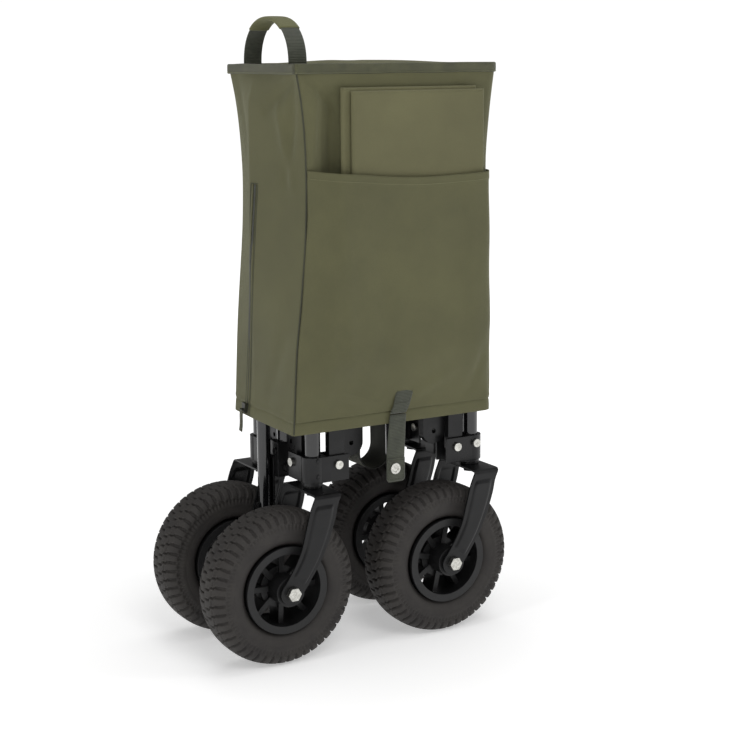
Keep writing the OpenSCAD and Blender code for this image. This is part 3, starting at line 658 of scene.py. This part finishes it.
def top_panel():
    """The closed top: one panel sewn in at the rim, a little domed and slack."""
    rim = outline(RIM_Z - 2, -0.6)[::2]
    centre = rim.mean(0)
    rows = []
    for t in np.linspace(1, 0.02, 40):
        ring = centre + (rim - centre) * t
        rise = 7.5 * (1 - t ** 2) + 1.1 * slow_waves(8, 80, ring[:, 0], ring[:, 1]) * (1 - t ** 4)
        rise = rise - 2.2 * stroke(ring[:, 0], ring[:, 1], (-85, -95), (20, -20), 14, 1.0) * (1 - t ** 6)
        rows.append(np.stack([ring[:, 0], ring[:, 1], RIM_Z - 3.2 + rise], 1))
    piece = skin("cover_top", np.array(rows), around=True)
    work = bmesh.new()
    work.from_mesh(piece.data)
    work.verts.ensure_lookup_table()
    middle = work.faces.new([work.verts[len(work.verts) - len(rim) + i] for i in range(len(rim))])
    middle.smooth = True
    bmesh.ops.recalc_face_normals(work, faces=work.faces)
    work.to_mesh(piece.data)
    work.free()
    return thicken(piece, 1.0, 0.0)


cover = fit(cover_piece(), cover_cloth, "cover", "cover_cloth", "cover")
fit(top_panel(), cover_cloth, "cover", "cover_cloth")


def rim_binding():
    """Grosgrain folded over the rim seam and sewn through, a little wavy where it was eased round the corners."""
    line = outline(RIM_Z - 2, 0.5)
    wave = 0.6 * slow_waves(21, 70, line[:, 0], line[:, 1])
    path = np.column_stack([line, RIM_Z - 5.0 + wave])
    half = [(-5.6, -1.3), (-5.9, 0.2), (-5.5, 1.3), (-2.0, 1.55), (2.0, 1.6), (4.8, 1.5), (6.1, 0.7),
            (6.4, -0.4), (5.6, -1.5), (2.0, -1.5), (-2.0, -1.4)]
    return swept("rim_binding_tape", path, half, closed=True)


fit(rim_binding(), binding_tape, "cover", "binding_tape", "rim_binding")
rim_line = outline(RIM_Z - 2, 2.15)
fit(stitches("binding_stitches", np.column_stack([rim_line, np.full(len(rim_line), RIM_Z - 9.4)]),
             np.column_stack([np.gradient(rim_line[:, 1]), -np.gradient(rim_line[:, 0]), 0 * rim_line[:, 0]])
             / np.maximum(np.hypot(np.gradient(rim_line[:, 0]), np.gradient(rim_line[:, 1])), 1e-9)[:, None]),
    thread_olive, "cover", "binding_tape")


def corner_seam():
    """The welted seam down the near left corner, where the two faces were sewn inside out."""
    heights = np.linspace(HEM_Z + 1, RIM_Z - 11, 120)
    path = []
    for z in heights:
        line = outline(z)
        x, y = line[0]
        path.append((x - 0.5, y - 0.5, z))
    return swept("corner_seam", path, pebble(0, 2.0, 2.0), up=(-0.7, -0.7, 0.01))


# The corner seam strip is dark: a real welted seam with painted shade along it.
fit(corner_seam(), seam_shade, "cover", "cover_cloth")


# ---- Pocket and floor board ----

POCKET_X = (-84, 176)
POCKET_PUSH = [(-84, 0), (-70, 3.0), (-56, 9.5), (-46, 15.0), (-34, 16.6), (0, 17.0), (120, 17.0), (156, 16.6), (166, 13.5), (174, 6.0), (178, 0)]
MOUTH_SAG = [(-84, 6.5), (-52, 2.6), (-23, 0.5), (20, -3.6), (61, -5.8), (120, -5.0), (178, -2.5)]


def pocket_front():
    """The pocket's front cloth: drawn out over the board's corners, hemmed at its mouth, sewn down at the hem."""
    cols, rows = 170, 120
    levels = np.concatenate([np.linspace(312, 330, 16), np.linspace(330, MOUTH_Z, rows)[1:]])
    grid = []
    for z in levels:
        t = np.linspace(0, 1, cols)
        left = float(through(LEVELS["left"], z)) + 1.2
        right = float(through(LEVELS["right"], z)) - 7.5 + 2 * float(ease(312, 420, z))
        x = left + (right - left) * t
        lean = through(POCKET_PUSH, np.interp(x, [left, right], [-84, 178]))
        fullness = float(ease(314, 392, z)) * 0.94 + 0.06 * float(ease(470, 612, z))
        near_r = float(through(LEVELS["near_r"], z))
        corner_x = float(through(LEVELS["right"], z)) - near_r
        inside = np.clip((x - corner_x) / near_r, 0, 0.999)
        face = FACE_Y + near_r * (1 - np.sqrt(1 - inside ** 2))
        wave = 0.8 * slow_waves(5, 85, x, z) * ease(312, 340, z)
        folds = (stroke(x, z, (-80, 560), (-52, 470), 9, 2.2) + stroke(x, z, (-78, 470), (-50, 400), 10, -2.0)
                 + stroke(x, z, (-60, 350), (10, 322), 7, 2.0) + stroke(x, z, (62, 330), (120, 356), 9, 2.2)
                 + stroke(x, z, (10, 336), (-40, 372), 10, -2.2) + stroke(x, z, (150, 330), (172, 400), 9, -2.4)
                 + stroke(x, z, (-20, 590), (60, 596), 8, 0.8) + stroke(x, z, (168, 600), (160, 470), 8, 1.2)
                 + stroke(x, z, (-42, 560), (-36, 380), 10, 2.4) + stroke(x, z, (6, 540), (20, 350), 16, -2.0))
        mouth = 1.3 * float(ease(600.5, 602.5, z)) + 1.2 * bump(z, 1.2, 602)
        out = 1.1 + lean * fullness + wave + folds * ease(312, 330, z) + mouth * 0
        lip = 1.0 * float(ease(MOUTH_Z - 11.5, MOUTH_Z - 10, z))
        height = z + through(MOUTH_SAG, x) * ease(500, 612, z)
        grid.append(np.stack([x, face - out - lip, height], 1))
    piece = skin("pocket_front", np.array(grid))
    return thicken(piece, 1.1, 0.0)


pocket = fit(pocket_front(), cover_cloth, "cover", "cover_cloth", "pocket")

mouth_x = np.linspace(-82, 172, 130)


def on_pocket(x, z, lift=0.0):
    """A point on the pocket's front, for what is sewn on it."""
    right = float(through(LEVELS["right"], z)) - 7.5 + 2 * float(ease(312, 420, z))
    left = float(through(LEVELS["left"], z)) + 1.2
    lean = through(POCKET_PUSH, np.interp(x, [left, right], [-84, 178]))
    fullness = float(ease(314, 392, z)) * 0.94 + 0.06 * float(ease(470, 612, z))
    near_r = float(through(LEVELS["near_r"], z))
    corner_x = float(through(LEVELS["right"], z)) - near_r
    inside = np.clip((x - corner_x) / near_r, 0, 0.999)
    face = FACE_Y + near_r * (1 - np.sqrt(1 - inside ** 2))
    wave = 0.8 * slow_waves(5, 85, x, z) * ease(312, 340, z)
    sag = through(MOUTH_SAG, x) * ease(500, 612, z)
    return np.stack([x, face - 1.1 - lean * fullness - wave - 0.6 - lift, z + sag], -1)


fit(stitches("mouth_stitches", on_pocket(mouth_x, MOUTH_Z - 9.5, 0.9), (0, -1, 0)), thread_olive, "cover", "cover_cloth")


def board_leaf(name, low, high, front, back, seed):
    """One leaf of the folding floor: a stiff panel sewn into cloth, soft at its edges and a little puckered there."""
    cols, rows = 90, 130
    u, v = np.meshgrid(np.linspace(0, 1, cols), np.linspace(0, 1, rows))
    x = low[0] + (high[0] - low[0]) * u
    z = low[1] + (high[1] - low[1]) * v
    inset = np.minimum(np.minimum(x - low[0], high[0] - x), np.minimum(z - low[1], high[1] - z))
    round_off = np.sqrt(np.clip(1 - np.clip(1 - inset / 3.2, 0, 1) ** 2, 0, 1))
    half = (back - front) / 2
    middle = (front + back) / 2
    pucker = 0.3 * slow_waves(seed, 26, x, z) * bump(0, 12, inset) + 0.5 * slow_waves(seed + 1, 120, x, z)
    grids = []
    for s in (-1, 1):
        grids.append(np.stack([x, middle + s * half * (0.1 + 0.9 * round_off) + s * pucker * 0.35 * (s < 0), z], -1))
    points = np.concatenate([g.reshape(-1, 3) for g in grids])
    faces = []
    for r in range(rows - 1):
        for c in range(cols - 1):
            a = r * cols + c
            faces.append((a, a + 1, a + cols + 1, a + cols))
            b = a + rows * cols
            faces.append((b, b + cols, b + cols + 1, b + 1))
    rim = ([c for c in range(cols)] + [r * cols + cols - 1 for r in range(1, rows)]
           + [(rows - 1) * cols + c for c in range(cols - 2, -1, -1)] + [r * cols for r in range(rows - 2, 0, -1)])
    shift = rows * cols
    for k, a in enumerate(rim):
        b = rim[(k + 1) % len(rim)]
        faces.append((a, a + shift, b + shift, b))
    piece = mesh_piece(name, points, faces)
    outward(piece)
    return piece


fit(board_leaf("board_leaf_front", (-30, 383), (162, 712), -119.2, -113.4, 31), board_cloth, "board", "board_cloth", "board_front_leaf")
fit(board_leaf("board_leaf_rear", (-41, 383), (154, 716), -113.0, -107.2, 37), board_cloth, "board", "board_cloth", "board_rear_leaf")


# ---- Zip ----

ZIP_TOP = np.array([-1.0, 597.0])
ZIP_LOW = np.array([33.0, 298.0])


def end_face(y, z, lift=0.0):
    """A point on the cover's narrow front face at (y, z)."""
    line = outline(z)
    part = line[line[:, 0] < 0]
    part = part[np.argsort(part[:, 1])]
    part = part[(part[:, 1] > FACE_Y + 6) & (part[:, 1] < BACK_Y - 22)]
    x = np.interp(y, part[:, 1], part[:, 0])
    near = np.interp(y + 1, part[:, 1], part[:, 0]) - np.interp(y - 1, part[:, 1], part[:, 0])
    push = float(cover_push(x, y, z, -1.0, near / 2))
    return np.array([x - push - 0.55 - lift, y, z])


def zip_line(side=0.0, lift=0.0, count=90, trim=0.0):
    lean = (ZIP_LOW - ZIP_TOP) / np.linalg.norm(ZIP_LOW - ZIP_TOP)
    ts = np.linspace(0, 1 - trim, count)
    return np.array([end_face(ZIP_TOP[0] + t * (ZIP_LOW[0] - ZIP_TOP[0]) + side * lean[1] * -1,
                              ZIP_TOP[1] + t * (ZIP_LOW[1] - ZIP_TOP[1]) + side * lean[0], lift) for t in ts])


def zip_pieces():
    for side, name in ((-3.3, "far"), (3.3, "near")):
        fit(swept("zip_welt_" + name, zip_line(side, 0.0), pebble(0, 1.1, 4.2), up=(-1, 0, 0)), cover_cloth, "cover", "cover_cloth")
    fit(swept("zip_tape", zip_line(0, -0.2), pebble(0, 0.7, 10.6), up=(-1, 0, 0)), zip_tape, "cover", "zip_tape", "zipper")
    fit(stitches("zip_teeth", zip_line(0, -0.3, 140), (-1, 0, 0), pitch=1.5, thread=1.1), thread_dark, "cover", "zip_tape")
    # Dark strips beside and across the top of the zip: painted shade in the grooves where the welts meet the cover.
    for side, name in ((-7.2, "far"), (7.2, "near")):
        fit(swept("zip_groove_painted_shade_" + name, zip_line(side, -0.1), pebble(0, 0.9, 1.2), up=(-1, 0, 0)), seam_shade,
            "cover", "cover_cloth")
    across = [end_face(ZIP_TOP[0] + y, ZIP_TOP[1] + 1, -0.1) for y in np.linspace(-7.2, 7.2, 14)]
    fit(swept("zip_groove_painted_shade_top", across, pebble(0, 0.9, 1.2), up=(-1, 0, 0)), seam_shade, "cover", "cover_cloth")
    for side in (-5.4, 5.4):
        fit(stitches("zip_stitches_%s" % ("far" if side < 0 else "near"), zip_line(side, 0.1), (-1, 0, 0)), thread_dark, "cover", "cover_cloth")


zip_pieces()


def zip_puller():
    """A folded tape tab looped through the slider."""
    low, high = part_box("zip_pull")
    lean = math.radians(6.6)
    pin = np.array([(low.x + high.x) / 2, low.y, high.z]) / MM + [0, 2.43, -2.34]
    down = np.array([0, math.sin(lean), -math.cos(lean)])
    path = [pin + down * t + np.array([-0.25 * math.sin(t / 4), 0, 0]) for t in np.linspace(0.5, 29, 30)]
    return swept("zip_pull_tab", path, pebble(0, 1.6, 8.2), up=(-1, 0, 0))


fit(zip_puller(), binding_tape, "slider_pull", "binding_tape", "zip_pull")


# ---- Hem strap ----

def flat_strap(name, corners, front, thick, rows=24, seed=1, curl=0.0):
    """Webbing laid flat on the face: corners are (left, right, height) from the top down."""
    corners = np.array(corners, float)
    zs = np.linspace(corners[0, 2], corners[-1, 2], rows)
    left = np.interp(-zs, -corners[:, 2], corners[:, 0])
    right = np.interp(-zs, -corners[:, 2], corners[:, 1])
    points, uvs = [], []
    section = pebble(0, 1, 1, 16)
    for i, z in enumerate(zs):
        for a, b in section:
            points.append((left[i] + (right[i] - left[i]) * (0.5 + a),
                           front - thick / 2 - b * thick + curl * math.sin(i / rows * 3.0), z))
            uvs.append((corners[0, 2] - z, (a + 0.5) * 25))
    cols = len(section)
    faces = [tuple(range(cols)), tuple((rows - 1) * cols + c for c in range(cols - 1, -1, -1))]
    for r in range(rows - 1):
        for c in range(cols):
            d = (c + 1) % cols
            faces.append((r * cols + c, (r + 1) * cols + c, (r + 1) * cols + d, r * cols + d))
    piece = mesh_piece(name, points, faces, uvs)
    outward(piece)
    return piece


fit(flat_strap("strap_sewn", [(39, 67, 350), (32, 56, 318), (27, 51, 308.7)], -107.6, 1.6), webbing, "cover", "webbing", "strap_patch")
fit(flat_strap("strap_tail", [(27, 51, 307.1), (22, 48.5, 262), (21.6, 48, 250), (21.4, 48, 223), (24.5, 45, 220.2)], -107.6, 1.6, curl=-0.3),
    webbing, "strap", "webbing", "hem_strap")
fit(flat_strap("strap_doubling", [(21.8, 48, 251), (21.4, 47.8, 223), (24.5, 45, 220.4)], -109.2, 1.5, rows=14), webbing, "strap", "webbing")
fit(stitches("strap_stitches_sewn", [(41.5, -109.4, 347), (64.5, -109.4, 347), (55, -109.4, 322), (33, -109.4, 322), (41.5, -109.4, 347)],
             (0, -1, 0), 3.0), thread_dark, "cover", "webbing")
fit(stitches("strap_stitches_tail", [(24, -110.9, 248.5), (45.5, -110.9, 248.5), (45, -110.9, 224), (24, -110.9, 224), (24, -110.9, 248.5)],
             (0, -1, 0), 3.0), thread_dark, "strap", "webbing")


# ---- Carry loop ----

LOOP = (-75.0, -6.5, 61.5, 58.0)


def loop_path(lift=0.0, low=0.0, count=70):
    x, y, half, height = LOOP
    angles = np.linspace(low, math.pi - low, count)
    c, s = np.cos(angles), np.sin(angles)
    return np.stack([np.full(count, x), y + (half + lift) * np.sign(c) * np.abs(c) ** 1.02,
                     RIM_Z + (height + lift) * np.abs(s) ** 0.84], 1)


def carry_loop():
    path = loop_path(-1.4)
    section = pebble(0, 25, 1.8, 20)
    return swept("loop_webbing", path, section, up=(1, 0, 0))


fit(carry_loop(), webbing, "loop", "webbing", "carry_loop")


def loop_sleeve():
    """A piece of cover cloth wrapped round the crown and sewn along its underside. It is drawn in a lighter copy of
    the cover cloth: painted light where the lamps fall on the crown.
    """
    path = loop_path(-1.4, 0.82, 44)
    section = pebble(0, 27.6, 4.4, 24)
    piece = swept("loop_wrap", path, section, up=(1, 0, 0), caps=True)
    return piece


fit(loop_sleeve(), sleeve_cloth, "loop", "sleeve_cloth", "loop_sleeve")


# ---- Folded wagon cloth and liner ----

def folded_side(name, sign):
    """A wagon side folded into upright pleats between the bars."""
    turns = 9
    t = np.linspace(0, 1, 400)
    x = 9 + 90 * t
    swing = np.sin(t * math.pi * turns)
    y = sign * (43.8 + 16.2 * np.sign(swing) * np.abs(swing) ** 0.7)
    heights = np.linspace(286, 693, 60)
    grid = [np.stack([x + 0.7 * np.sin(z / 41 + t * 9), y + 0.5 * np.sin(z / 57 + t * 21), np.full_like(x, z)], 1) for z in heights]
    piece = skin(name, np.array(grid))
    run = np.linalg.norm(np.diff(np.array(grid[0]), axis=0), axis=1).sum()
    thicken(piece, 0.8, 0.0)
    return piece, run


for name, sign in (("left", -1), ("right", 1)):
    side_cloth, cut = folded_side("wagon_side_" + name, sign)
    if name == "left":
        fit(side_cloth, wagon_cloth, "frame", "wagon_cloth", "wagon_fabric")
    else:
        fit(side_cloth, wagon_cloth, "frame", "wagon_cloth")


def liner_sling():
    """The wagon's floor cloth, hanging in a U below the hub."""
    half = 23
    down = np.linspace(329, 240, 30)
    arc = np.linspace(math.pi, 2 * math.pi, 30)[1:-1]
    line = ([(54 - half, z) for z in down] + [(54 + half * math.cos(a), 240 + half * math.sin(a)) for a in arc]
            + [(54 + half, z) for z in down[::-1]])
    line = np.array(line)
    widths = np.linspace(-25.4, 25.4, 22)
    grid = [np.stack([line[:, 0] + 0.5 * np.sin(w / 6 + line[:, 1] / 15), np.full(len(line), w), line[:, 1]], 1) for w in widths]
    run = np.linalg.norm(np.diff(line, axis=0), axis=1).sum()
    piece = skin("liner_sling", np.array(grid))
    thicken(piece, 1.4, 0.0)
    return piece, run


sling, sling_run = liner_sling()
fit(sling, liner_cloth, "frame", "liner_cloth", "fabric_base")


# ---- Floor and studio ----

def studio():
    floor = mesh_piece("floor", [(-9000, -9000, 0), (9000, -9000, 0), (9000, 9000, 0), (-9000, 9000, 0)], [(0, 1, 2, 3)])
    material, shader = surface("pale_floor_glowing_painted_shadow", "#f4f4f4", 0.6, Specular_IOR_Level=0.2)
    # The floor glows though it is no lamp: its emission is weakest near the wagon, painting a soft shadow round it,
    # and grows with distance to paint the far floor white.
    shader.inputs["Emission Color"].default_value = (1.0, 1.0, 1.0, 1.0)
    place = object_place(material)
    away = add(material, "ShaderNodeVectorMath", [(0, place)], operation="LENGTH")
    floor_glow_painted_shadow = add(material, "ShaderNodeMapRange", [("Value", away.outputs["Value"])], From_Min=0.25, From_Max=1.7,
               To_Min=0.38, To_Max=0.85)
    join(material, floor_glow_painted_shadow.outputs["Result"], shader, "Emission Strength")
    floor.data.materials.append(material)
    world = bpy.data.worlds.new("studio")
    bpy.context.scene.world = world
    world.use_nodes = True
    background = world.node_tree.nodes["Background"]
    background.inputs["Color"].default_value = (1.0, 1.0, 1.0, 1.0)
    seen = world.node_tree.nodes.new("ShaderNodeLightPath")
    level = world.node_tree.nodes.new("ShaderNodeMapRange")
    level.inputs["To Min"].default_value = 0.24
    level.inputs["To Max"].default_value = 1.05
    world.node_tree.links.new(seen.outputs["Is Camera Ray"], level.inputs["Value"])
    world.node_tree.links.new(level.outputs["Result"], background.inputs["Strength"])
    for name, place, size, power in (
            ("key", (-0.6, -2.6, 2.9), (1.6, 1.6), 34), ("left_strip", (-2.6, -0.9, 1.3), (0.25, 2.2), 13),
            ("right_strip", (2.2, -1.6, 1.3), (0.25, 2.2), 13), ("top", (0.2, 0.2, 3.2), (2.4, 2.4), 34)):
        lamp = bpy.data.lights.new(name, "AREA")
        lamp.shape = "RECTANGLE"
        lamp.size, lamp.size_y = size
        lamp.energy = power
        holder = bpy.data.objects.new(name, lamp)
        bpy.context.scene.collection.objects.link(holder)
        holder.location = place
        holder.rotation_euler = (Vector((0.02, 0, 0.4)) - Vector(place)).to_track_quat("-Z", "Y").to_euler()
    bpy.context.scene.view_settings.view_transform = "Standard"
    bpy.context.scene.view_settings.look = "None"


studio()
